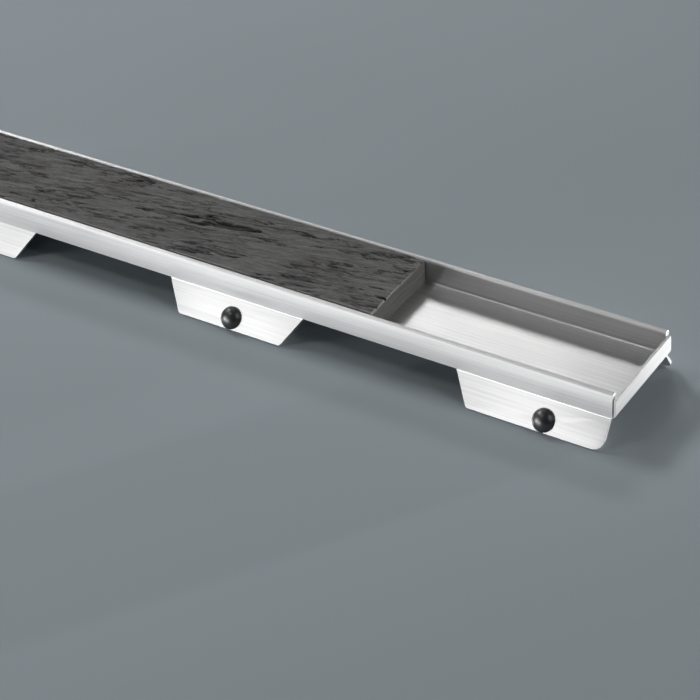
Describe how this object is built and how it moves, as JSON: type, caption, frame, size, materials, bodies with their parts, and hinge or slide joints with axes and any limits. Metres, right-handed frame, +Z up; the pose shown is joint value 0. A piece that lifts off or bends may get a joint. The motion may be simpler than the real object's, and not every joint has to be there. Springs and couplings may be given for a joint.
{
  "type": "tile insert tray of a linear shower drain",
  "caption": "Long shallow folded steel tray on splayed legs with rubber bumpers, part filled with a riven slate strip; it drops into a shower channel and hides it.",
  "frame": {"origin": "under the middle of the tray, at the level of the legs' lowest edges", "axes": "+X along the tray towards the bare end, +Y across it, +Z up towards the rim"},
  "size_m": [0.8028, 0.0674, 0.0249],
  "materials": {
    "steel": "brushed lengthwise, satin",
    "slate": "riven on top, sawn at the sides and ends, matt",
    "rubber": "smooth, slightly glossy"
  },
  "bodies": {
    "root": {"tray": "steel", "slate_strip": "slate", "front_bumper_1": "rubber", "front_bumper_2": "rubber", "front_bumper_3": "rubber", "front_bumper_4": "rubber", "front_bumper_5": "rubber", "front_bumper_6": "rubber", "rear_bumper_1": "rubber", "rear_bumper_2": "rubber", "rear_bumper_3": "rubber", "rear_bumper_4": "rubber", "rear_bumper_5": "rubber", "rear_bumper_6": "rubber"}
  },
  "joints": []
}
